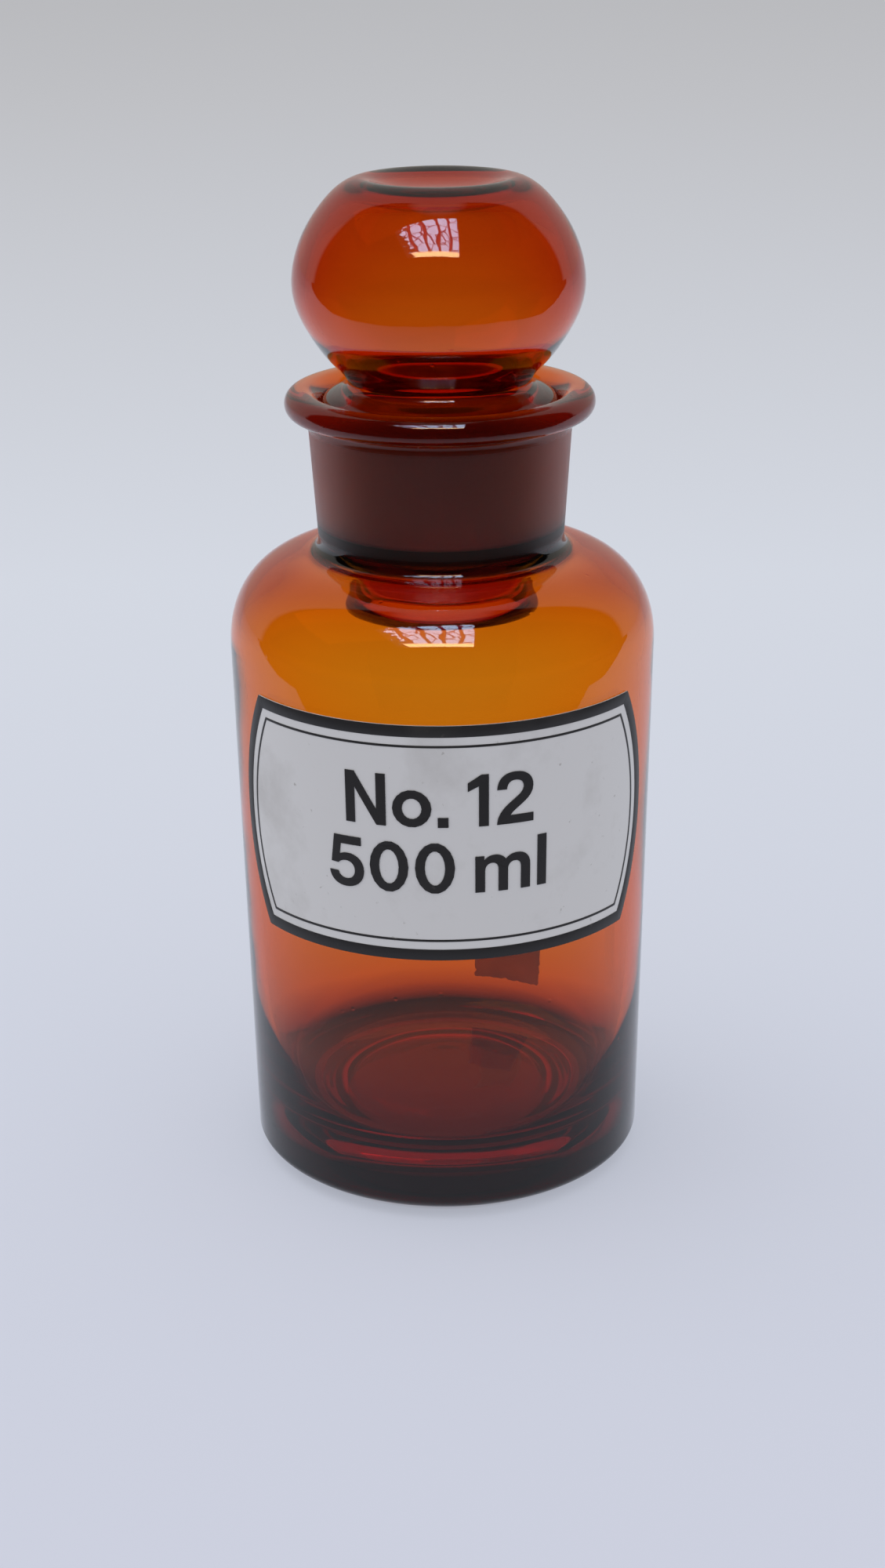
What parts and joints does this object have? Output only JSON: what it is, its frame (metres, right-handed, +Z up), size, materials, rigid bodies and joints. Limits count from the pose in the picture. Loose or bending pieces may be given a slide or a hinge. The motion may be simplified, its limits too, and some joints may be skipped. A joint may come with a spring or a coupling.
{
  "type": "reagent bottle",
  "caption": "Wide-mouth amber glass reagent bottle with a hollow ground-in globe stopper, a domed base, a fired enamel label with a black border and a paper remnant on the back.",
  "frame": {"origin": "centre of the base on the surface the bottle stands on", "axes": "+Z up along the bottle's axis, the label faces -Y, +X to the right of someone reading the label"},
  "size_m": [0.0886, 0.089, 0.2099],
  "materials": {
    "amber_glass": "clear gloss amber glass, ground matt in the joint",
    "white_enamel": "satin fired enamel",
    "black_enamel": "satin fired enamel",
    "brown_paper": "matt aged paper"
  },
  "bodies": {
    "bottle_body": {"bottle": "amber_glass", "label_ground": "white_enamel", "label_border": "black_enamel", "label_line": "black_enamel", "back_sticker": "brown_paper", "letter_n": "black_enamel", "letter_o": "black_enamel", "letter_stop": "black_enamel", "number_1": "black_enamel", "number_2": "black_enamel", "capacity_5": "black_enamel", "capacity_0_left": "black_enamel", "capacity_0_right": "black_enamel", "capacity_m": "black_enamel", "capacity_l": "black_enamel"},
    "stopper_body": {"stopper": "amber_glass"}
  },
  "joints": [
    {"name": "stopper_lift", "type": "slide", "parent": "bottle_body", "child": "stopper_body", "axis": [0, 0, 1], "range_m": [0, 0.05]}
  ]
}
